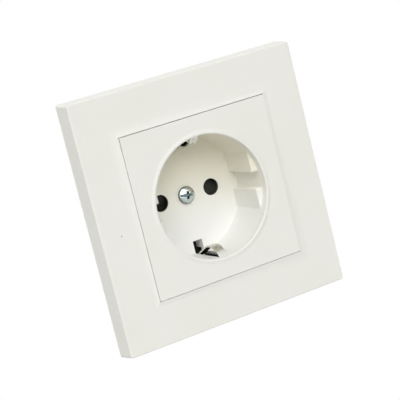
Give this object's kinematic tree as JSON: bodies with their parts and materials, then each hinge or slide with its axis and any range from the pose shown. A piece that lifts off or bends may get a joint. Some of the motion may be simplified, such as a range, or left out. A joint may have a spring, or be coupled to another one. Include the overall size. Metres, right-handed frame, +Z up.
{
  "type": "wall socket",
  "caption": "Flush type F wall socket with a square off-white frame and centre plate, a round plug recess with side earth clips, a pin shutter, and its insert with strap and terminals.",
  "frame": {"origin": "on the socket's axis, in the wall plane that the frame's back rim and the strap's back lie on", "axes": "+Z up, +Y into the wall, +X to the right as seen from the room"},
  "size_m": [0.081, 0.0437, 0.081],
  "materials": {
    "cover_plastic": "moulded, satin gloss",
    "shutter_plastic": "moulded, matt",
    "base_plastic": "moulded, matt",
    "zinc_steel": "zinc plated",
    "bright_screw": "bright zinc plated",
    "earth_metal": "nickel plated",
    "contact_metal": "bronze, bright",
    "spring_steel": "spring temper"
  },
  "bodies": {
    "socket": {"cover_frame": "cover_plastic", "centre_plate": "cover_plastic", "centre_screw": "bright_screw", "centre_nut": "zinc_steel", "shutter_spring": "spring_steel", "socket_base": "base_plastic", "base_rear_cover": "base_plastic", "rear_cover_screws": "zinc_steel", "right_contact": "contact_metal", "left_contact": "contact_metal", "right_clamp_plate": "zinc_steel", "left_clamp_plate": "zinc_steel", "right_terminal_screw": "zinc_steel", "left_terminal_screw": "zinc_steel", "earth_bracket": "earth_metal", "earth_clamp_plate": "zinc_steel", "earth_terminal_screw": "zinc_steel", "bracket_rivets": "zinc_steel", "mounting_strap": "zinc_steel", "strap_rivets": "zinc_steel"},
    "shutter": {"shutter": "shutter_plastic"}
  },
  "joints": [
    {"name": "shutter_turn", "type": "hinge", "parent": "socket", "child": "shutter", "pos_m": [0, 0.0129, 0], "axis": [0, 1, 0], "range_deg": [0, 42], "stiffness_Nm_per_rad": 0.003, "springref_deg": -17.19, "deforming": ["shutter_spring"]}
  ]
}
